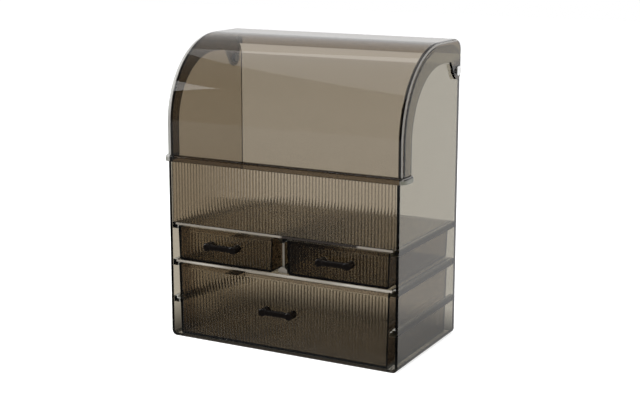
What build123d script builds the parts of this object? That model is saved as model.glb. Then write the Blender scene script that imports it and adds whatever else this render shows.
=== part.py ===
"""Makeup organizer: a clear smoked case with three drawers below a hinged quarter-round hood.

Millimetres. X is the width, -Y the front and Z up. The origin is the middle of the case's footprint.
"""
import os
from math import asin, atan2, cos, hypot, sin

from build123d import *

# Case
case_width = 250.0
case_depth = 138.0
side_thickness = 2.8
floor_thickness = 2.8
back_thickness = 2.6
back_panel_height = 274.0
bottom_bend_radius = 5.5
foot_flange_width = 11.0
front_inset = 0.4

# Ledges that carry the shelves
ledge_count = 3
first_ledge_top = 41.4
ledge_pitch = 38.0
ledge_height = 6.1
ledge_depth = 5.9
shelf_seat_width = 2.5
shelf_thickness = 2.4
shelf_side_gap = 0.1

# Fluted panels
flute_pitch = 3.4
flute_rise = 0.5
baffle_height = 61.4
baffle_thickness = 2.0

# Hood
hood_height = 121.0
hood_radius = 85.5
hood_thickness = 2.4
hood_edge_radius = 5.0
hood_rear_radius = 10.0
hood_rear_wall_height = 15.0
hood_rear_inset = 1.2
hood_side_gap = 0.5
hood_rest_gap = 0.2
hood_inner_gap = 2.2
arm_front_width = 18.5
arm_top_width = 20.5
lip_height = 6.0
lip_reach = 2.6
lip_overrun = 0.8
lip_end_radius = 2.2
lip_top_round = 2.0
side_rear_radius = 26.0

# Hood pivots
pivot_from_rear = 12.5
pivot_below_top = 30.5
ear_radius = 8.5
ear_flare_front = 16.5
ear_flare_rear = 12.0
post_radius = 2.5
post_head_radius = 4.75
post_head_height = 2.0
post_head_round = 0.9
washer_radius = 5.0
pivot_screw_radius = 1.5
pivot_screw_head_radius = 4.0
pivot_screw_head_height = 1.8
pivot_screw_length = 5.0
screw_slot_width = 0.9
screw_slot_depth = 0.8
running_clearance = 0.05

# Drawers
drawer_wall = 2.0
drawer_side_gap = 0.4
drawer_top_gap = 1.4
drawer_float = 0.2
drawer_rear_gap = 1.5
drawer_middle_gap = 7.9
small_drawer_draft = 1.3
large_drawer_draft = 1.8
drawer_corner_radius = 2.0
flute_top_border = 4.0
flute_side_border = 1.5
flute_bottom_border = 1.0

# Drawer divider and its clips
divider_thickness = 2.4
divider_setback = 8.0
divider_rear_gap = 1.0
clip_half_width = 5.0
clip_shoulder_height = 3.2
clip_peak_height = 6.0
clip_nose = 2.0
clip_length = 9.0

# Drawer handles
handle_spacing = 29.2
handle_above_middle = 2.3
handle_post_radius = 3.8
handle_reach = 11.0
handle_end_round = 1.2
handle_bar_height = 5.4
handle_bar_depth = 5.0
handle_bar_inset = 0.8
handle_bar_round = 1.6
handle_screw_radius = 1.4
handle_screw_depth = 7.0
handle_screw_head_radius = 2.8
handle_screw_head_height = 1.6

# Planes of the case that the pieces share
half_width = case_width / 2
inner_half_width = half_width - side_thickness
front_y = -case_depth / 2
rear_y = case_depth / 2
back_front_y = rear_y - back_thickness
panel_front_y = front_y + front_inset
ledge_tops = [first_ledge_top + row * ledge_pitch for row in range(ledge_count)]
ledge_tip = inner_half_width - ledge_depth
seat_wall = ledge_tip + shelf_seat_width
top_shelf_top = ledge_tops[2]
middle_shelf_top = ledge_tops[1]
baffle_top = top_shelf_top + baffle_height

# Planes of the hood
hood_bottom = baffle_top + hood_rest_gap
hood_top = hood_bottom + hood_height
hood_rear_y = rear_y - hood_rear_inset
arm_inner = half_width + hood_side_gap
arm_outer = arm_inner + hood_thickness
arc_centre_y = front_y + hood_radius
arc_centre_z = hood_top - hood_radius
side_front_setback = hood_thickness + hood_inner_gap
side_top = hood_top - side_front_setback
pivot_y = rear_y - pivot_from_rear
pivot_z = hood_top - pivot_below_top
hole_radius = post_radius + running_clearance

# Extra length of a cutter past the faces it cuts
overcut = 5.0


def box_between(x_range, y_range, z_range):
    """Box between the low and high planes of each axis."""
    spans = (x_range, y_range, z_range)
    sizes = [high - low for low, high in spans]
    middles = [(low + high) / 2 for low, high in spans]
    return Pos(*middles) * Box(*sizes)


def rod_along_x(radius, x_range, y, z):
    """Round rod with its axis along X."""
    low, high = x_range
    return Pos((low + high) / 2, y, z) * Rot(0, 90, 0) * Cylinder(radius, high - low)


def rod_along_y(radius, x, y_range, z):
    """Round rod with its axis along Y."""
    low, high = y_range
    return Pos(x, (low + high) / 2, z) * Rot(90, 0, 0) * Cylinder(radius, high - low)


def on_both_sides(right_piece):
    """The piece made for the right (+X) side and its mirror image, as left and right."""
    return {"left": mirror(right_piece, about=Plane.YZ), "right": right_piece}


def tangent_point(point, centre, radius, turn):
    """Where a line from the point touches the circle, on the side that turn (+1 or -1) picks."""
    reach_y = centre[0] - point[0]
    reach_z = centre[1] - point[1]
    distance = hypot(reach_y, reach_z)
    angle = atan2(reach_z, reach_y) + turn * asin(radius / distance)
    length = (distance ** 2 - radius ** 2) ** 0.5
    return point[0] + length * cos(angle), point[1] + length * sin(angle)


def side_section():
    """Cross-section of the right side panel: upright, bent inwards at the bottom into a foot flange."""
    bend = half_width - bottom_bend_radius
    inner_bend_radius = bottom_bend_radius - side_thickness
    with BuildSketch(Plane.XZ) as section:
        with BuildLine():
            Polyline((inner_half_width, bottom_bend_radius), (inner_half_width, hood_top),
                     (half_width, hood_top), (half_width, bottom_bend_radius))
            RadiusArc((half_width, bottom_bend_radius), (bend, 0), bottom_bend_radius)
            Polyline((bend, 0), (half_width - foot_flange_width, 0),
                     (half_width - foot_flange_width, floor_thickness), (bend, floor_thickness))
            RadiusArc((bend, floor_thickness), (inner_half_width, bottom_bend_radius), -inner_bend_radius)
        make_face()
    return section.sketch


def side_outline():
    """Outline of a side panel seen from the side; above the baffle it is set back inside the hood."""
    set_back_y = front_y + side_front_setback
    rear_arc_y = rear_y - side_rear_radius
    with BuildSketch(Plane.YZ) as outline:
        with BuildLine():
            Polyline((front_y, 0), (front_y, baffle_top), (set_back_y, baffle_top), (set_back_y, arc_centre_z))
            TangentArc((set_back_y, arc_centre_z), (arc_centre_y, side_top), tangent=(0, 1))
            Line((arc_centre_y, side_top), (rear_arc_y, side_top))
            TangentArc((rear_arc_y, side_top), (rear_y, side_top - side_rear_radius), tangent=(1, 0))
            Polyline((rear_y, side_top - side_rear_radius), (rear_y, 0), (front_y, 0))
        make_face()
    return outline.sketch


def ledge(top):
    """Ledge on the right side panel, stepped along its inner edge so that a shelf sits flush in it."""
    y_range = (panel_front_y, back_front_y)
    full = box_between((ledge_tip, inner_half_width), y_range, (top - ledge_height, top))
    seat = box_between((ledge_tip, seat_wall), y_range, (top - shelf_thickness, top))
    return full - seat


def side_panel():
    """Right side panel with its ledges and the hole for the hood's pivot."""
    wall = extrude(side_section(), amount=case_depth / 2, both=True)
    wall &= extrude(side_outline(), amount=half_width)
    for top in ledge_tops:
        wall += ledge(top)
    hole = rod_along_x(hole_radius, (inner_half_width - overcut, half_width + overcut), pivot_y, pivot_z)
    return wall - hole


def floor_panel():
    """Floor between the two foot flanges."""
    flange_edge = half_width - foot_flange_width
    return box_between((-flange_edge, flange_edge), (front_y, rear_y), (0, floor_thickness))


def back_panel():
    """Back between the side panels; its lower corners clear the bend of the sides."""
    panel = box_between((-inner_half_width, inner_half_width), (back_front_y, rear_y),
                        (floor_thickness, back_panel_height))
    lower_corners = panel.edges().filter_by(Axis.Y).group_by(Axis.Z)[0]
    return fillet(lower_corners, bottom_bend_radius - side_thickness)


def shelf(top):
    """Flat shelf that lies in the seats of two ledges."""
    half = seat_wall - shelf_side_gap
    return box_between((-half, half), (panel_front_y, back_front_y), (top - shelf_thickness, top))


def flute_row(width, crest_y, depth, z_range, middle_x=0.0):
    """Upright convex flutes side by side, crests towards the front, on a backing of the given depth."""
    count = int(width / flute_pitch)
    start_x = middle_x - count * flute_pitch / 2
    root_y = crest_y + flute_rise
    with BuildSketch(Plane.XY.offset(z_range[0])) as row:
        with BuildLine():
            for index in range(count):
                left = start_x + index * flute_pitch
                ThreePointArc((left, root_y), (left + flute_pitch / 2, crest_y), (left + flute_pitch, root_y))
            end_x = start_x + count * flute_pitch
            Polyline((end_x, root_y), (end_x, root_y + depth), (start_x, root_y + depth), (start_x, root_y))
        make_face()
    return extrude(row.sketch, amount=z_range[1] - z_range[0])


def front_baffle():
    """Fluted panel that closes the front from the top shelf up to the hood's lip."""
    z_range = (top_shelf_top, baffle_top)
    root_y = panel_front_y + flute_rise
    plate = box_between((-inner_half_width, inner_half_width), (root_y, root_y + baffle_thickness), z_range)
    return plate + flute_row(2 * inner_half_width, panel_front_y, baffle_thickness / 2, z_range)


def hood_profile(inset):
    """Side view of the hood's block, drawn in by the inset: upright front, arc, flat top, rounded rear."""
    front = front_y + inset
    top = hood_top - inset
    rear = hood_rear_y - inset
    bottom = hood_bottom - (overcut if inset else 0)
    rear_radius = hood_rear_radius - inset
    with BuildSketch(Plane.YZ) as profile:
        with BuildLine():
            Line((front, bottom), (front, arc_centre_z))
            TangentArc((front, arc_centre_z), (arc_centre_y, top), tangent=(0, 1))
            Line((arc_centre_y, top), (rear - rear_radius, top))
            TangentArc((rear - rear_radius, top), (rear, top - rear_radius), tangent=(1, 0))
            Polyline((rear, top - rear_radius), (rear, bottom), (front, bottom))
        make_face()
    return profile.sketch


def hood_block(inset):
    """Solid block inside the hood's outer skin, its long edges rounded, drawn in by the inset."""
    block = extrude(hood_profile(inset), amount=arm_outer - inset, both=True)
    long_edges = ShapeList()
    for side in (block.faces().sort_by(Axis.X)[0], block.faces().sort_by(Axis.X)[-1]):
        long_edges += side.edges().sort_by(Axis.Z)[1:]
    return fillet(long_edges, hood_edge_radius - inset)


def arm_window():
    """Side view of what the arms leave open: below their curved inner edge and round the pivot ears."""
    front = front_y + arm_front_width
    arm_edge = hood_top - arm_top_width
    inner_radius = hood_radius - arm_front_width
    ear_front = (pivot_y - ear_flare_front, arm_edge)
    ear_rear = (hood_rear_y, pivot_z + ear_flare_rear)
    pivot = (pivot_y, pivot_z)
    front_touch = tangent_point(ear_front, pivot, ear_radius, -1)
    rear_touch = tangent_point(ear_rear, pivot, ear_radius, 1)
    below = hood_bottom - overcut
    behind = hood_rear_y + overcut
    with BuildSketch(Plane.YZ) as window:
        with BuildLine():
            Line((front, below), (front, arm_edge - inner_radius))
            TangentArc((front, arm_edge - inner_radius), (arc_centre_y, arm_edge), tangent=(0, 1))
            Polyline((arc_centre_y, arm_edge), ear_front, front_touch)
            ThreePointArc(front_touch, (pivot_y, pivot_z - ear_radius), rear_touch)
            Polyline(rear_touch, ear_rear, (behind, ear_rear[1]), (behind, below), (front, below))
        make_face()
    return window.sketch


def hood_lip():
    """Flange round the hood's lower edge, along the front and both arms."""
    reach = arm_outer + lip_reach
    lip_front = front_y - lip_reach
    lip_rear = front_y + arm_front_width + lip_overrun
    lip = box_between((-reach, reach), (lip_front, lip_rear), (hood_bottom, hood_bottom + lip_height))
    upright = lip.edges().filter_by(Axis.Z).group_by(Axis.Y)
    lip = fillet(upright[0], hood_edge_radius + lip_reach)
    upright = lip.edges().filter_by(Axis.Z).group_by(Axis.Y)
    lip = fillet(upright[-1], lip_end_radius)
    lip = fillet(lip.faces().sort_by(Axis.Z)[-1].edges(), lip_top_round)
    return lip - hood_block(hood_thickness / 2)


def hood():
    """One clear moulding: curved front and top, short rear wall, two arms with pivot ears, and the lip."""
    shell = hood_block(0) - hood_block(hood_thickness)
    shell -= extrude(arm_window(), amount=arm_outer + overcut, both=True)
    shell -= box_between((-arm_inner, arm_inner), (pivot_y, hood_rear_y + overcut),
                         (hood_bottom - overcut, hood_top - hood_rear_wall_height))
    shell += hood_lip()
    for side in (-1, 1):
        span = sorted((side * (arm_inner - overcut), side * (arm_outer + overcut)))
        shell -= rod_along_x(hole_radius, span, pivot_y, pivot_z)
    return shell


def pivot_post():
    """Right hood pivot: a round post through arm and side panel, with a low domed head outside."""
    bore_depth = pivot_screw_length + running_clearance
    shank = rod_along_x(post_radius, (inner_half_width, arm_outer), pivot_y, pivot_z)
    head = rod_along_x(post_head_radius, (arm_outer, arm_outer + post_head_height), pivot_y, pivot_z)
    rim = head.edges().sort_by(Axis.X)[-1]
    bore = rod_along_x(pivot_screw_radius + running_clearance,
                       (inner_half_width, inner_half_width + bore_depth), pivot_y, pivot_z)
    return shank + fillet(rim, post_head_round) - bore


def pivot_screw():
    """Slotted screw that holds the right pivot post from inside the case."""
    head_x = inner_half_width - pivot_screw_head_height
    head = rod_along_x(pivot_screw_head_radius, (head_x, inner_half_width), pivot_y, pivot_z)
    shank = rod_along_x(pivot_screw_radius, (inner_half_width, inner_half_width + pivot_screw_length),
                        pivot_y, pivot_z)
    slot = box_between((head_x, head_x + screw_slot_depth),
                       (pivot_y - screw_slot_width / 2, pivot_y + screw_slot_width / 2),
                       (pivot_z - pivot_screw_head_radius, pivot_z + pivot_screw_head_radius))
    return head + shank - slot


def pivot_washer():
    """Thin washer between the right side panel and the hood's arm."""
    washer = rod_along_x(washer_radius, (half_width, arm_inner), pivot_y, pivot_z)
    return washer - rod_along_x(hole_radius, (half_width - overcut, arm_inner + overcut), pivot_y, pivot_z)


def tray_section(x_range, z_range, draft, round_corners):
    """Cross-section of a tray, narrower at the bottom by the draft on each side."""
    low_x, high_x = x_range
    low_z, high_z = z_range
    with BuildSketch(Plane.XZ) as section:
        with BuildLine():
            Polyline((low_x, high_z), (low_x + draft, low_z), (high_x - draft, low_z), (high_x, high_z), close=True)
        make_face()
        if round_corners:
            fillet(section.vertices().group_by(Axis.Y)[0], drawer_corner_radius)
    return section.sketch


def extrude_towards_rear(section, y_range):
    """Solid of an XZ section between two planes across Y."""
    low, high = y_range
    return Pos(0, high, 0) * extrude(section, amount=high - low)


def drawer(x_range, z_range, draft, handle_z):
    """Open tray with a fluted front and two holes for its handle."""
    root_y = panel_front_y + flute_rise
    tray_rear = back_front_y - drawer_rear_gap
    low_x, high_x = x_range
    low_z, high_z = z_range
    middle_x = (low_x + high_x) / 2
    tray = extrude_towards_rear(tray_section(x_range, z_range, draft, True), (root_y, tray_rear))
    hollow = tray_section((low_x + drawer_wall, high_x - drawer_wall),
                          (low_z + drawer_wall, high_z + overcut), draft, False)
    tray -= extrude_towards_rear(hollow, (root_y + drawer_wall, tray_rear - drawer_wall))
    fluted_width = high_x - low_x - 2 * (draft + flute_side_border)
    tray += flute_row(fluted_width, panel_front_y, drawer_wall / 2,
                      (low_z + flute_bottom_border, high_z - flute_top_border), middle_x)
    for x in handle_places(middle_x):
        pad = rod_along_y(handle_post_radius, x, (panel_front_y, root_y + drawer_wall / 2), handle_z)
        hole = rod_along_y(handle_screw_radius + running_clearance, x,
                           (panel_front_y - overcut, root_y + drawer_wall + overcut), handle_z)
        tray = tray + pad - hole
    return tray


def handle_places(middle_x):
    """X of a handle's two posts."""
    return (middle_x - handle_spacing / 2, middle_x + handle_spacing / 2)


def handle(middle_x, z):
    """Pull with two round posts and a rounded bar between them."""
    end_y = panel_front_y - handle_reach
    bar_y = end_y + handle_bar_inset
    low_x, high_x = handle_places(middle_x)
    bar = box_between((low_x, high_x), (bar_y, bar_y + handle_bar_depth),
                      (z - handle_bar_height / 2, z + handle_bar_height / 2))
    pull = fillet(bar.edges().filter_by(Axis.X), handle_bar_round)
    for x in (low_x, high_x):
        post = rod_along_y(handle_post_radius, x, (end_y, panel_front_y), z)
        post = fillet(post.edges().sort_by(Axis.Y)[0], handle_end_round)
        pull += post
    for x in (low_x, high_x):
        pull -= rod_along_y(handle_screw_radius + running_clearance, x,
                            (panel_front_y - handle_screw_depth - running_clearance, panel_front_y), z)
    return pull


def handle_screws(middle_x, z):
    """Two round-headed screws that hold a handle from inside the drawer."""
    wall_inside_y = panel_front_y + flute_rise + drawer_wall
    screws = []
    for x in handle_places(middle_x):
        shank = rod_along_y(handle_screw_radius, x, (panel_front_y - handle_screw_depth, wall_inside_y), z)
        head = rod_along_y(handle_screw_head_radius, x,
                           (wall_inside_y, wall_inside_y + handle_screw_head_height), z)
        rim = head.edges().sort_by(Axis.Y)[-1]
        screws.append(shank + fillet(rim, handle_screw_head_height / 2))
    return Compound(children=screws)


def drawer_divider():
    """Upright plate between the two small drawers."""
    half = divider_thickness / 2
    return box_between((-half, half), (front_y + divider_setback, back_front_y - divider_rear_gap),
                       (middle_shelf_top, top_shelf_top - shelf_thickness))


def divider_clip(base_z, up):
    """Gabled clip that grips a front corner of the divider; up is +1 on a shelf and -1 under one."""
    clip_front = front_y + divider_setback - clip_nose
    with BuildSketch(Plane.XZ) as gable:
        with BuildLine():
            Polyline((-clip_half_width, base_z), (clip_half_width, base_z),
                     (clip_half_width, base_z + up * clip_shoulder_height),
                     (divider_thickness / 2, base_z + up * clip_peak_height),
                     (-divider_thickness / 2, base_z + up * clip_peak_height),
                     (-clip_half_width, base_z + up * clip_shoulder_height), close=True)
        make_face()
    body = extrude_towards_rear(gable.sketch, (clip_front, clip_front + clip_length))
    return body - drawer_divider()


def drawer_set():
    """Trays, handles and screws of the three drawers, by node name."""
    drawer_outer = ledge_tip - drawer_side_gap
    small_z = (middle_shelf_top + drawer_float, top_shelf_top - shelf_thickness - drawer_top_gap)
    large_z = (floor_thickness + drawer_float, middle_shelf_top - shelf_thickness - drawer_top_gap)
    plans = {
        "small_drawer_left": ((-drawer_outer, -drawer_middle_gap), small_z, small_drawer_draft),
        "small_drawer_right": ((drawer_middle_gap, drawer_outer), small_z, small_drawer_draft),
        "large_drawer": ((-drawer_outer, drawer_outer), large_z, large_drawer_draft),
    }
    pieces = {}
    for name, (x_range, z_range, draft) in plans.items():
        middle_x = sum(x_range) / 2
        handle_z = sum(z_range) / 2 + handle_above_middle
        pieces[f"{name}_tray"] = drawer(x_range, z_range, draft, handle_z)
        pieces[f"{name}_handle"] = handle(middle_x, handle_z)
        pieces[f"{name}_handle_screws"] = handle_screws(middle_x, handle_z)
    return pieces


def all_pieces():
    """Every piece of the organizer, by node name."""
    pieces = {
        "floor_panel": floor_panel(),
        "back_panel": back_panel(),
        "top_shelf": shelf(top_shelf_top),
        "middle_shelf": shelf(middle_shelf_top),
        "front_baffle": front_baffle(),
        "drawer_divider": drawer_divider(),
        "divider_foot_clip": divider_clip(middle_shelf_top, 1),
        "divider_head_clip": divider_clip(top_shelf_top - shelf_thickness, -1),
        "hood": hood(),
    }
    pairs = {
        "side_panel": side_panel(),
        "pivot_post": pivot_post(),
        "pivot_screw": pivot_screw(),
        "pivot_washer": pivot_washer(),
    }
    for name, right_piece in pairs.items():
        for side, piece in on_both_sides(right_piece).items():
            pieces[f"{side}_{name}"] = piece
    pieces.update(drawer_set())
    return pieces


os.makedirs("parts", exist_ok=True)
for node, shape in all_pieces().items():
    export_step(shape, f"parts/{node}.step")
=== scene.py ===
from math import cos, log, radians, sin

import bpy
from mathutils import Matrix, Vector


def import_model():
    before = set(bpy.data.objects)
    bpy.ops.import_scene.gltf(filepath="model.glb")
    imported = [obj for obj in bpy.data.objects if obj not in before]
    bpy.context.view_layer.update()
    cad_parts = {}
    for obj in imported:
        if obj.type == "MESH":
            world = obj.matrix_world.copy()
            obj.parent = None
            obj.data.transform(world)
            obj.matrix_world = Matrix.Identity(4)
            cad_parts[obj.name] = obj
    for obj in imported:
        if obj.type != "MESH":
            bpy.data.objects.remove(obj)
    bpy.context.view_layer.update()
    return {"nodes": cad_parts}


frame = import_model()
NODES = frame["nodes"]

# Camera: angles in degrees, focal length and axis in pixels of the 640-pixel-wide image, eye point in metres.
CAMERA_YAW, CAMERA_PITCH, CAMERA_ROLL = 27.797, 11.319, 0.091
CAMERA_FOCAL = 1311.1
CAMERA_EYE = Vector((0.6001, -1.1245, 0.4194))
AXIS_ABOVE_MIDDLE = 25.0
IMAGE_WIDTH = 640.0
SENSOR_WIDTH = 36.0

# How much of each colour a sheet of this thickness lets through, apart from what its faces mirror.
SHEET_THICKNESS = 0.0026
CASE_PASSES = (0.665, 0.64, 0.58)
# The left side panel is the same sheet as the right one; its darker values are painted shade on that side.
LEFT_SIDE_SHADED_PASSES = (0.553, 0.508, 0.425)
HOOD_PASSES = (0.455, 0.40, 0.33)
BAFFLE_PASSES = (0.53, 0.46, 0.375)
SMALL_TRAY_PASSES = (0.54, 0.485, 0.405)
LARGE_TRAY_PASSES = (0.61, 0.555, 0.475)
PLASTIC_IOR = 1.49
DENSITY_MARGIN = 1.02

# What single faces, edges and marks of the smoked plastic let through or send back.
STREAK_TINTS = ((0.985, 0.98, 0.97), (1.0, 1.0, 1.0))
# Painted shade in the creases between the flutes.
CREASE_SHADE_TINT = (0.22, 0.20, 0.18)
TRAY_SHADE_TINT = (0.42, 0.37, 0.33)
SAWN_TINTS = ((0.42, 0.38, 0.32), (0.84, 0.79, 0.70))
# Painted shade along the borders of the shelves' sawn edges, and a painted dark reflection on part of the top shelf's
# edge.
SAWN_EDGE_SHADE_TINT = (0.05, 0.042, 0.036)
SEAM_TINT = (1.0, 0.96, 0.90)
LEDGE_TINT = (1.0, 1.0, 0.93)
# Painted shade on the floor panel's front edge.
FLOOR_PANEL_FRONT_SHADE_TINT = (0.12, 0.10, 0.085)
# Painted light and shade on the hood's side arms: a lighter tint on the right arm, painted shade on the left arm.
RIGHT_ARM_LIGHT_TINT, LEFT_ARM_SHADE_TINT = (0.92, 0.94, 0.82), (0.38, 0.35, 0.31)
# Painted shade on the hood's ears around the pivots.
PIVOT_SHADE_TINT = (0.34, 0.31, 0.27)
# Painted dark reflection: the dark line along the hood's outer rounding.
DARK_REFLECTION_LINE_TINT = (0.04, 0.035, 0.03)
LIP_TINT = (0.70, 0.66, 0.60)
LIP_LINE_TINT = (0.25, 0.22, 0.19)
LIP_END_TINT = (0.27, 0.27, 0.22)
# Painted pale reflection on the hood's outer rounding.
RIGHT_ROUNDING_REFLECTION_TINT, LEFT_ROUNDING_REFLECTION_TINT = (0.42, 0.40, 0.37), (0.48, 0.475, 0.45)

# How clear those faces stay, from 0 for a solid colour to 1 for glass.
SAWN_CLEARNESS = 0.35
SEAM_CLEARNESS = 0.0
LEDGE_CLEARNESS = 0.2
RIGHT_ROUNDING_CLEARNESS, LEFT_ROUNDING_CLEARNESS = 0.45, 0.30
LIP_END_CLEARNESS = 0.45

# Marks on the smoked plastic: how closely they lie, and the roughness of clean, smudged and scratched faces.
STREAKS, SMUDGES, SCRATCHES, WAVES = 9.0, 38.0, 900.0, 14.0
CLEAN_ROUGHNESS, SMUDGE_ROUGHNESS, SCRATCH_ROUGHNESS = 0.004, 0.025, 0.10
SCRATCH_TURN = (0.4, 0.9, 0.5)
WAVE_HEIGHT = 0.00015

# Colours of the other materials.
BLACK, WORN_BLACK = (0.004, 0.003, 0.0025), (0.022, 0.020, 0.018)
SCREW_STEEL, PIVOT_METAL = (0.56, 0.55, 0.53), (0.82, 0.82, 0.81)
MILKY_TINTS = ((0.66, 0.64, 0.60), (0.80, 0.79, 0.76))
FLOOR_TINTS = ((0.80, 0.80, 0.80), (0.82, 0.82, 0.82))

# Places on the part in metres: edges with how far they fade, and bands with their start, end and fade.
STEP = 0.0001
BACK_PANEL_FRONT = (0.0663, STEP)
SEAM_INSIDE = (0.1223, STEP)
LEDGE_INSIDE = (0.1219, STEP)
FOOT_TOP = (0.030, 0.001)
SHELF_EDGE_FOOT = (0.1140, STEP)
SHELF_DARK_RUN = (0.000, 0.084, 0.003)
LEFT_PALE_REFLECTION_END = (-0.1226, 0.0003)
LEFT_DARK_LINE = (-0.1223, -0.1203, 0.0003)
LIP_TOP = (0.1850, 0.0002)
LIP_LINE = (0.1828, 0.1856, 0.0004)
LIP_END_TOP = (0.1826, 0.0003)

# More places in metres, each with where it starts and ends.
CREASE_HEIGHTS = (0.025, 0.050)
TRAY_WALL_SHADE = (-0.052, -0.046)
TRAY_FRONT = (-0.0665, -0.066)
TRAY_RIMS, RIM_BAND, RIM_FADE = (0.0756, 0.1136), (-0.0036, 0.001), 0.0003
PIVOT_Y, PIVOT_Z, PIVOT_SHADE = 0.0565, 0.2695, (0.008, 0.014)

# Directions that a face's normal has along one axis, where a feature starts and ends.
FRONT_FACING = (-0.95, -0.85)
SIDE_FACING = (0.96, 0.995)
LIP_END_FACING = (0.30, 0.45)
OUTWARD_FACING = (0.05, 0.2)
CREASE_START, CREASE_END = (0.22, 0.50), (0.60, 0.70)
DARK_ROUNDING, PALE_ROUNDING = (0.05, 0.55, 0.06), (0.50, 0.80, 0.08)
SHARP_TURN = (0.75, 0.995)
CREASES_NEAR_FLOOR = 0.3

# Brightness of the studio where clear or shiny faces show it, with white at 1.
DARK_STUDIO = 0.08
DIM_CEILING = 0.45
FLOOR_IN_FRONT = 0.5
MIRRORED_INSIDE = 0.25
MIRRORED_SKY = 0.65
# Painted shadow: the floor's brightness near the object and under it.
NEAR_FLOOR = 0.5
FAR_FLOOR = 0.95
UNDER_OBJECT = 0.05

# Where it changes: directions for the studio, places and distances in metres for the floor.
STUDIO_REARWARD, STUDIO_OVERHEAD = (-0.55, 0.25), (0.35, 0.95)
FLOOR_FRONT_RUN, FLOOR_REAR_RUN = (-1.1, -0.5), (-0.12, -0.02)
UNDER_OBJECT_WIDTH, NEAR_FLOOR_WIDTH = 0.08, 0.12
FOOTPRINT = (0.125, 0.069, 0.0)
FLOOR_REACH = 4.0

# Light that the surroundings throw on plain faces, and what the floor adds where the camera sees it.
SKY_LIGHT = 0.55
FLOOR_GLOW = 0.6


def node_tree(name):
    """A new material, its node tree and its Principled shader."""
    material = bpy.data.materials.new(name)
    material.use_nodes = True
    tree = material.node_tree
    return material, tree, tree.nodes["Principled BSDF"]


def add(tree, kind, inputs=(), **settings):
    """A node with its settings and its input values or links."""
    node = tree.nodes.new(kind)
    for key, value in settings.items():
        setattr(node, key, value)
    for key, value in dict(inputs).items():
        if isinstance(value, bpy.types.NodeSocket):
            tree.links.new(value, node.inputs[key])
        else:
            node.inputs[key].default_value = value
    return node


def object_coordinates(tree):
    return add(tree, "ShaderNodeTexCoord").outputs["Object"]


def axes(tree, vector):
    """The X, Y and Z of a vector."""
    return add(tree, "ShaderNodeSeparateXYZ", {0: vector}).outputs


def facing(tree):
    """Where a face looks, in the object's own axes."""
    return axes(tree, add(tree, "ShaderNodeTexCoord").outputs["Normal"])


def noise(tree, place, scale, detail=3.0, rough=0.55):
    node = add(tree, "ShaderNodeTexNoise", {"Vector": place, "Scale": scale, "Detail": detail, "Roughness": rough})
    return node.outputs["Fac"]


def maths(tree, operation, first, second=0.0):
    return add(tree, "ShaderNodeMath", {0: first, 1: second}, operation=operation).outputs["Value"]


def size_of(tree, value):
    """A value without its sign."""
    return maths(tree, "ABSOLUTE", value)


def product(tree, *factors):
    """All factors multiplied."""
    result = factors[0]
    for factor in factors[1:]:
        result = maths(tree, "MULTIPLY", result, factor)
    return result


def remap(tree, value, low, high, to_low=0.0, to_high=1.0):
    """A range of values spread over another range, and held at its ends."""
    node = add(tree, "ShaderNodeMapRange", {"Value": value, "From Min": low, "From Max": high,
                                            "To Min": to_low, "To Max": to_high})
    return node.outputs["Result"]


def before(tree, value, edge, fade):
    """1 below an edge, fading to 0 above it."""
    return remap(tree, value, edge, edge + fade, 1.0, 0.0)


def after(tree, value, edge, fade):
    """0 below an edge, rising to 1 above it."""
    return remap(tree, value, edge, edge + fade)


def between(tree, value, start, end, fade):
    """1 between two values and 0 outside them."""
    return product(tree, after(tree, value, start, fade), before(tree, value, end - fade, fade))


def mixed(tree, share, first, second):
    """A value or colour, changed to another by a share."""
    colours = any(isinstance(value, tuple) or getattr(value, "type", "") == "RGBA" for value in (first, second))
    first, second = ((*value, 1.0) if isinstance(value, tuple) else value for value in (first, second))
    node = add(tree, "ShaderNodeMix", {"Factor": share, "A": first, "B": second},
               data_type="RGBA" if colours else "FLOAT")
    return node.outputs["Result"]


def scratches(tree, place, density, turn, stretch=60.0, width=0.02):
    """Fine straight marks: cells of a long stretched Voronoi pattern, thinned out by a noise."""
    turned = add(tree, "ShaderNodeMapping", {"Vector": place, "Rotation": turn,
                                             "Scale": (density, density / stretch, density)})
    cells = add(tree, "ShaderNodeTexVoronoi", {"Vector": turned.outputs["Vector"], "Scale": 1.0},
                feature="DISTANCE_TO_EDGE")
    lines = remap(tree, cells.outputs["Distance"], 0.0, width, 1.0, 0.0)
    patches = remap(tree, noise(tree, place, 24.0), 0.50, 0.62)
    return product(tree, lines, patches)


def bumped(tree, height, distance):
    return add(tree, "ShaderNodeBump", {"Height": height, "Distance": distance, "Strength": 1.0}).outputs["Normal"]


def edge_share(tree, radius):
    """1 along sharp edges and 0 on the faces, from how far a rounded normal turns away."""
    rounded = add(tree, "ShaderNodeBevel", {"Radius": radius}, samples=4)
    plain = add(tree, "ShaderNodeNewGeometry")
    dot = add(tree, "ShaderNodeVectorMath", {0: rounded.outputs["Normal"], 1: plain.outputs["Normal"]},
              operation="DOT_PRODUCT")
    return remap(tree, dot.outputs["Value"], *SHARP_TURN, 1.0, 0.0)


def front_share(tree):
    """1 on faces that look straight to the front and 0 elsewhere."""
    return remap(tree, facing(tree)["Y"], *FRONT_FACING, 1.0, 0.0)


def sideways_share(tree):
    """1 on faces that look to a side and 0 elsewhere."""
    return remap(tree, size_of(tree, facing(tree)["X"]), *SIDE_FACING)


def crease_shade_share(tree, place):
    """Painted shade: 1 in the creases between upright flutes, less near the floor, and 0 on crests and flat faces."""
    slope = size_of(tree, facing(tree)["X"])
    creases = product(tree, remap(tree, slope, *CREASE_START), remap(tree, slope, *CREASE_END, 1.0, 0.0))
    return product(tree, creases, remap(tree, axes(tree, place)["Z"], *CREASE_HEIGHTS, CREASES_NEAR_FLOOR, 1.0))


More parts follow.
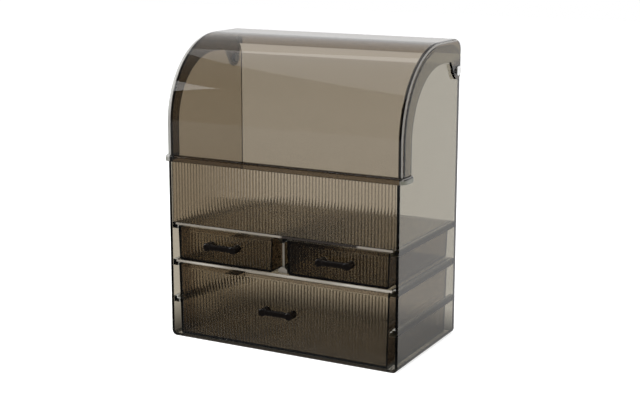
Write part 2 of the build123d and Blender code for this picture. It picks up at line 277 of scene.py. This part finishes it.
def tray_shade_share(tree, place):
    """1 on a drawer's outer walls just behind its front, and along the top of its front."""
    at = axes(tree, place)
    walls = product(tree, sideways_share(tree), remap(tree, at["Y"], *TRAY_WALL_SHADE, 1.0, 0.0))
    start, end = RIM_BAND
    rims = maths(tree, "MAXIMUM", *(between(tree, at["Z"], rim + start, rim + end, RIM_FADE) for rim in TRAY_RIMS))
    front = remap(tree, at["Y"], *TRAY_FRONT, 1.0, 0.0)
    return maths(tree, "MAXIMUM", walls, product(tree, rims, front))


def dark_run_share(tree, place):
    """Painted dark reflection: 1 on the part of the top shelf's edge that shows dark and 0 elsewhere."""
    at = axes(tree, place)
    return product(tree, between(tree, at["X"], *SHELF_DARK_RUN), after(tree, at["Z"], *SHELF_EDGE_FOOT))


def seam_share(tree, place):
    """1 where the back panel's ends are bonded to the side panels."""
    at = axes(tree, place)
    rear = after(tree, at["Y"], *BACK_PANEL_FRONT)
    inner = before(tree, size_of(tree, at["X"]), *SEAM_INSIDE)
    return product(tree, rear, inner, sideways_share(tree))


def ledge_share(tree, place):
    """1 on the ledges that stand out from the side panels' inner faces, apart from their front ends."""
    at = axes(tree, place)
    inner = before(tree, size_of(tree, at["X"]), *LEDGE_INSIDE)
    lengthwise = remap(tree, front_share(tree), 0.0, 1.0, 1.0, 0.0)
    return product(tree, inner, lengthwise, after(tree, at["Z"], *FOOT_TOP), before(tree, at["Y"], *BACK_PANEL_FRONT))


def outer_rounding(tree, place):
    """Shares of the painted dark reflection line and the painted pale reflection along the hood's outer rounding."""
    look = facing(tree)
    across = axes(tree, place)["X"]
    outward = remap(tree, maths(tree, "SUBTRACT", look["Z"], look["Y"]), *OUTWARD_FACING)
    dark = maths(tree, "MAXIMUM", between(tree, across, *LEFT_DARK_LINE), between(tree, look["X"], *DARK_ROUNDING))
    pale = maths(tree, "MAXIMUM", before(tree, across, *LEFT_PALE_REFLECTION_END), between(tree, look["X"], *PALE_ROUNDING))
    return product(tree, outward, dark), product(tree, outward, pale)


def lip_end_share(tree, height):
    """1 on the ends of the hood's lip and 0 elsewhere."""
    side = size_of(tree, facing(tree)["X"])
    return product(tree, before(tree, height, *LIP_END_TOP), remap(tree, side, *LIP_END_FACING))


def pivot_shade_share(tree, place):
    """Painted shade: 1 on the hood's ears close to their pivots and 0 elsewhere."""
    at = axes(tree, place)
    rearward = maths(tree, "SUBTRACT", at["Y"], PIVOT_Y)
    upward = maths(tree, "SUBTRACT", at["Z"], PIVOT_Z)
    squares = maths(tree, "ADD", product(tree, rearward, rearward), product(tree, upward, upward))
    return product(tree, sideways_share(tree), remap(tree, maths(tree, "SQRT", squares), *PIVOT_SHADE, 1.0, 0.0))


# Features of the smoked pieces. Each one takes the tint so far, and returns the new tint and how clear the
# faces stay, with None where all of them stay clear.

# Painted shade in the creases between the flutes.
def flute_crease_shade(tree, place, tint):
    return mixed(tree, crease_shade_share(tree, place), tint, CREASE_SHADE_TINT), None


def tray_shades(tree, place, tint):
    return mixed(tree, tray_shade_share(tree, place), tint, TRAY_SHADE_TINT), None


# Painted shade on the floor panel's front edge.
def front_shade(tree, place, tint):
    return mixed(tree, front_share(tree), tint, FLOOR_PANEL_FRONT_SHADE_TINT), None


def sawn_fronts(tree, place, tint):
    sawn = front_share(tree)
    patches = remap(tree, noise(tree, place, scale=11.0, detail=1.0), 0.42, 0.58)
    # Painted shade along the sawn edges' borders, and a painted dark reflection on part of the top shelf's edge.
    lines = maths(tree, "MAXIMUM", edge_share(tree, radius=0.0009), dark_run_share(tree, place))
    tone = mixed(tree, lines, mixed(tree, patches, *SAWN_TINTS), SAWN_EDGE_SHADE_TINT)
    return mixed(tree, sawn, tint, tone), remap(tree, sawn, 0.0, 1.0, 1.0, SAWN_CLEARNESS)


def seams_and_ledges(tree, place, tint):
    seam = seam_share(tree, place)
    ledge = ledge_share(tree, place)
    tint = mixed(tree, seam, tint, SEAM_TINT)
    tint = mixed(tree, ledge, tint, LEDGE_TINT)
    return tint, product(tree, remap(tree, seam, 0.0, 1.0, 1.0, SEAM_CLEARNESS),
                         remap(tree, ledge, 0.0, 1.0, 1.0, LEDGE_CLEARNESS))


def arms_and_lip(tree, place, tint):
    at = axes(tree, place)
    left = remap(tree, at["X"], -0.01, 0.01, 1.0, 0.0)
    dark, rounding = outer_rounding(tree, place)
    lip_end = lip_end_share(tree, at["Z"])
    # Painted light and shade on the hood's side arms: lighter on the right, darker on the left.
    tint = mixed(tree, sideways_share(tree), tint, mixed(tree, left, RIGHT_ARM_LIGHT_TINT, LEFT_ARM_SHADE_TINT))
    # Painted shade around the pivots.
    tint = mixed(tree, pivot_shade_share(tree, place), tint, PIVOT_SHADE_TINT)
    # Painted dark reflection line along the outer rounding.
    tint = mixed(tree, dark, tint, DARK_REFLECTION_LINE_TINT)
    tint = mixed(tree, before(tree, at["Z"], *LIP_TOP), tint, LIP_TINT)
    tint = mixed(tree, between(tree, at["Z"], *LIP_LINE), tint, LIP_LINE_TINT)
    # Painted pale reflection along the outer rounding.
    tint = mixed(tree, rounding, tint, mixed(tree, left, RIGHT_ROUNDING_REFLECTION_TINT, LEFT_ROUNDING_REFLECTION_TINT))
    tint = mixed(tree, lip_end, tint, LIP_END_TINT)
    clear = mixed(tree, rounding, 1.0, mixed(tree, left, RIGHT_ROUNDING_CLEARNESS, LEFT_ROUNDING_CLEARNESS))
    return tint, mixed(tree, lip_end, clear, LIP_END_CLEARNESS)


def smoked_plastic(name, passes, *features):
    """Clear smoked moulding: mirrors and bends light at its faces and dims it inside."""
    material, tree, shader = node_tree(name)
    place = object_coordinates(tree)
    shader.inputs["Transmission Weight"].default_value = 1.0
    shader.inputs["IOR"].default_value = PLASTIC_IOR
    tint = mixed(tree, noise(tree, place, STREAKS, detail=2.0), *STREAK_TINTS)
    for feature in features:
        tint, clear = feature(tree, place, tint)
        if clear is not None:
            tree.links.new(clear, shader.inputs["Transmission Weight"])
    tree.links.new(tint, shader.inputs["Base Color"])
    smudges = remap(tree, noise(tree, place, SMUDGES), 0.45, 0.75, 0.0, SMUDGE_ROUGHNESS)
    marks = product(tree, scratches(tree, place, SCRATCHES, SCRATCH_TURN), SCRATCH_ROUGHNESS)
    base = maths(tree, "ADD", smudges, CLEAN_ROUGHNESS)
    tree.links.new(maths(tree, "ADD", base, marks), shader.inputs["Roughness"])
    tree.links.new(bumped(tree, noise(tree, place, WAVES, detail=1.0), WAVE_HEIGHT), shader.inputs["Normal"])
    dimming = [-log(share) / SHEET_THICKNESS for share in passes]
    density = max(dimming) * DENSITY_MARGIN
    inside = add(tree, "ShaderNodeVolumeAbsorption", {"Density": density})
    inside.inputs["Color"].default_value = (*(1.0 - value / density for value in dimming), 1.0)
    tree.links.new(inside.outputs["Volume"], tree.nodes["Material Output"].inputs["Volume"])
    return material


def black_plastic():
    """Glossy near-black moulding of the handles."""
    material, tree, shader = node_tree("black_plastic")
    shader.inputs["Specular IOR Level"].default_value = 0.3
    place = object_coordinates(tree)
    worn = edge_share(tree, radius=0.0004)
    tree.links.new(mixed(tree, worn, BLACK, WORN_BLACK), shader.inputs["Base Color"])
    smudges = remap(tree, noise(tree, place, scale=160.0), 0.35, 0.75, 0.02, 0.07)
    tree.links.new(maths(tree, "ADD", smudges, product(tree, worn, 0.15)), shader.inputs["Roughness"])
    tree.links.new(bumped(tree, noise(tree, place, scale=700.0), distance=0.00003), shader.inputs["Normal"])
    return material


def metal(name, colour, roughness, grain):
    """Plain metal, a little brighter along its edges."""
    material, tree, shader = node_tree(name)
    place = object_coordinates(tree)
    shader.inputs["Metallic"].default_value = 1.0
    brighter = tuple(min(1.0, value * 1.15) for value in colour)
    tree.links.new(mixed(tree, edge_share(tree, radius=0.0003), colour, brighter), shader.inputs["Base Color"])
    fine = noise(tree, place, grain)
    tree.links.new(remap(tree, fine, 0.3, 0.7, roughness * 0.7, roughness * 1.3), shader.inputs["Roughness"])
    tree.links.new(bumped(tree, fine, distance=0.00002), shader.inputs["Normal"])
    return material


def nylon():
    """Milky satin plastic of the washers."""
    material, tree, shader = node_tree("nylon")
    place = object_coordinates(tree)
    cloud = noise(tree, place, scale=300.0)
    tree.links.new(mixed(tree, cloud, *MILKY_TINTS), shader.inputs["Base Color"])
    tree.links.new(remap(tree, cloud, 0.3, 0.7, 0.35, 0.55), shader.inputs["Roughness"])
    tree.links.new(bumped(tree, noise(tree, place, scale=1200.0), distance=0.00002), shader.inputs["Normal"])
    return material


def dress(material, names):
    """Gives pieces one material, in every slot that they have."""
    for name in names:
        slots = NODES[name].data.materials
        if not slots:
            slots.append(material)
        for i in range(len(slots)):
            slots[i] = material


def named(ending):
    return [name for name in NODES if name.endswith(ending)]


def dress_all():
    sheets = ["right_side_panel", "back_panel", "divider_head_clip"]
    sawn = ["top_shelf", "middle_shelf", "drawer_divider", "divider_foot_clip"]
    dress(smoked_plastic("smoked_case_plastic", CASE_PASSES, seams_and_ledges), sheets)
    dress(smoked_plastic("smoked_floor_plastic", CASE_PASSES, front_shade), ["floor_panel"])
    # Painted shade: the left side panel gets a darker copy of the case plastic.
    dress(smoked_plastic("smoked_left_side_shaded_plastic", LEFT_SIDE_SHADED_PASSES, seams_and_ledges), ["left_side_panel"])
    dress(smoked_plastic("smoked_sawn_plastic", CASE_PASSES, sawn_fronts), sawn)
    dress(smoked_plastic("smoked_hood_plastic", HOOD_PASSES, arms_and_lip), ["hood"])
    dress(smoked_plastic("smoked_baffle_plastic", BAFFLE_PASSES, flute_crease_shade), ["front_baffle"])
    dress(smoked_plastic("smoked_tray_plastic", SMALL_TRAY_PASSES, flute_crease_shade, tray_shades), named("_tray"))
    dress(smoked_plastic("smoked_large_tray_plastic", LARGE_TRAY_PASSES, flute_crease_shade, tray_shades),
          ["large_drawer_tray"])
    dress(black_plastic(), named("_handle"))
    dress(metal("screw_steel", SCREW_STEEL, roughness=0.32, grain=900.0),
          named("_handle_screws") + named("_pivot_screw"))
    dress(metal("pivot_bright", PIVOT_METAL, roughness=0.18, grain=500.0), named("_pivot_post"))
    dress(nylon(), named("_pivot_washer"))


def glassy_ray(tree):
    """1 for a ray that a clear or shiny face sends on."""
    path = add(tree, "ShaderNodeLightPath")
    return maths(tree, "MAXIMUM", path.outputs["Is Glossy Ray"], path.outputs["Is Transmission Ray"])


def seen_in_glass(tree, through, mirrored, inner):
    """Brightness for a ray that comes through a clear face, less after a mirroring inside, or off a face."""
    path = add(tree, "ShaderNodeLightPath")
    inside = maths(tree, "POWER", inner, path.outputs["Glossy Depth"])
    return mixed(tree, path.outputs["Is Transmission Ray"], mirrored, product(tree, through, inside))


def studio_dimness(tree):
    """The studio as a mirror shows it: white behind the object, dark beside the camera."""
    direction = axes(tree, add(tree, "ShaderNodeTexCoord").outputs["Generated"])
    rearward = remap(tree, direction["Y"], *STUDIO_REARWARD, DARK_STUDIO, 1.0)
    overhead = remap(tree, direction["Z"], *STUDIO_OVERHEAD, 1.0, DIM_CEILING)
    return product(tree, rearward, overhead)


def surroundings():
    """White to look at, and plain studio light."""
    world = bpy.data.worlds.new("studio")
    bpy.context.scene.world = world
    world.use_nodes = True
    tree = world.node_tree
    lit = tree.nodes["Background"]
    lit.inputs["Color"].default_value = (1.0, 1.0, 1.0, 1.0)
    glass = seen_in_glass(tree, 1.0, studio_dimness(tree), MIRRORED_SKY)
    path = add(tree, "ShaderNodeLightPath")
    plain = mixed(tree, path.outputs["Is Diffuse Ray"], 1.0, SKY_LIGHT)
    tree.links.new(mixed(tree, glassy_ray(tree), plain, glass), lit.inputs["Strength"])


def away_from_object(tree, place):
    """Distance on the floor from the rectangle that the case stands on."""
    step = place
    for operation, other in (("ABSOLUTE", (0, 0, 0)), ("SUBTRACT", FOOTPRINT), ("MAXIMUM", (0, 0, 0))):
        step = add(tree, "ShaderNodeVectorMath", {0: step, 1: other}, operation=operation).outputs["Vector"]
    return add(tree, "ShaderNodeVectorMath", {0: step}, operation="LENGTH").outputs["Value"]


def floor_paint():
    """Pale matt floor, which clear and shiny faces show brighter or darker by where it lies, with a painted shadow
    under and near the object.
    """
    material, tree, shader = node_tree("floor_paint")
    place = object_coordinates(tree)
    tree.links.new(mixed(tree, noise(tree, place, scale=3.0), *FLOOR_TINTS), shader.inputs["Base Color"])
    shader.inputs["Roughness"].default_value = 1.0
    shader.inputs["Specular IOR Level"].default_value = 0.0
    path = add(tree, "ShaderNodeLightPath")
    glow = add(tree, "ShaderNodeEmission", {"Strength": product(tree, path.outputs["Is Camera Ray"], FLOOR_GLOW)})
    lit = add(tree, "ShaderNodeAddShader", {0: shader.outputs[0], 1: glow.outputs[0]})
    away = away_from_object(tree, place)
    # Painted shadow under the object, where clear faces show the floor.
    through = remap(tree, away, 0.0, UNDER_OBJECT_WIDTH, UNDER_OBJECT, 1.0)
    depth = axes(tree, place)["Y"]
    front = remap(tree, depth, *FLOOR_FRONT_RUN, FLOOR_IN_FRONT, DARK_STUDIO)
    rear = mixed(tree, remap(tree, depth, *FLOOR_REAR_RUN), front, 1.0)
    # Painted shadow near the object, where shiny faces mirror the floor.
    mirrored = product(tree, rear, remap(tree, away, 0.0, NEAR_FLOOR_WIDTH, NEAR_FLOOR, FAR_FLOOR))
    beyond = add(tree, "ShaderNodeEmission", {"Strength": seen_in_glass(tree, through, mirrored, MIRRORED_INSIDE)})
    both = add(tree, "ShaderNodeMixShader", {0: glassy_ray(tree), 1: lit.outputs[0], 2: beyond.outputs[0]})
    tree.links.new(both.outputs[0], tree.nodes["Material Output"].inputs["Surface"])
    return material


def floor():
    """The ground that the object stands on."""
    mesh = bpy.data.meshes.new("floor")
    corners = [(x * FLOOR_REACH, y * FLOOR_REACH, 0) for x, y in ((-1, -1), (1, -1), (1, 1), (-1, 1))]
    mesh.from_pydata(corners, [], [(0, 1, 2, 3)])
    plane = bpy.data.objects.new("floor", mesh)
    bpy.context.scene.collection.objects.link(plane)
    mesh.materials.append(floor_paint())


def softbox(name, place, aim, width, height, power, turn=0.0, mirrored=True):
    """A rectangular light that looks at a point, turned about its own axis by degrees."""
    light = bpy.data.lights.new(name, "AREA")
    light.shape = "RECTANGLE"
    light.size, light.size_y = width, height
    light.energy = power
    lamp = bpy.data.objects.new(name, light)
    bpy.context.scene.collection.objects.link(lamp)
    lamp.location = place
    lamp.rotation_euler = (Vector(aim) - Vector(place)).to_track_quat("-Z", "Y").to_euler()
    lamp.rotation_euler.rotate_axis("Z", radians(turn))
    lamp.visible_camera = False
    lamp.visible_transmission = False
    lamp.visible_glossy = mirrored


def softboxes():
    """The studio's three lights."""
    softbox("left_panel", place=(-1.5, -0.708, 1.096), aim=(0.0, -0.708, 1.096), width=2.0, height=1.5, power=26.0)
    softbox("ceiling_panel", place=(-0.085, -0.362, 1.5), aim=(-0.085, -0.362, 0.0), width=1.3, height=1.9,
            power=7.8, turn=19.0)
    softbox("fill", place=(1.5, -0.4, 0.9), aim=(0.0, 0.0, 0.15), width=0.9, height=0.9, power=10.0,
            mirrored=False)


def camera():
    """The photo's camera."""
    yaw, pitch, roll = (radians(angle) for angle in (CAMERA_YAW, CAMERA_PITCH, CAMERA_ROLL))
    back = Vector((sin(yaw) * cos(pitch), -cos(yaw) * cos(pitch), sin(pitch)))
    level = Vector((cos(yaw), sin(yaw), 0.0))
    upward = back.cross(level)
    right = level * cos(roll) + upward * sin(roll)
    above = upward * cos(roll) - level * sin(roll)
    data = bpy.data.cameras.new("camera")
    data.sensor_width = SENSOR_WIDTH
    data.lens = CAMERA_FOCAL / IMAGE_WIDTH * SENSOR_WIDTH
    data.shift_y = -AXIS_ABOVE_MIDDLE / IMAGE_WIDTH
    data.clip_start, data.clip_end = 0.05, 20.0
    eye = bpy.data.objects.new("camera", data)
    bpy.context.scene.collection.objects.link(eye)
    turn = Matrix((right, above, back)).transposed().to_4x4()
    eye.matrix_world = Matrix.Translation(CAMERA_EYE) @ turn
    bpy.context.scene.camera = eye


dress_all()
surroundings()
floor()
softboxes()
camera()
bpy.context.scene.view_settings.view_transform = "Standard"
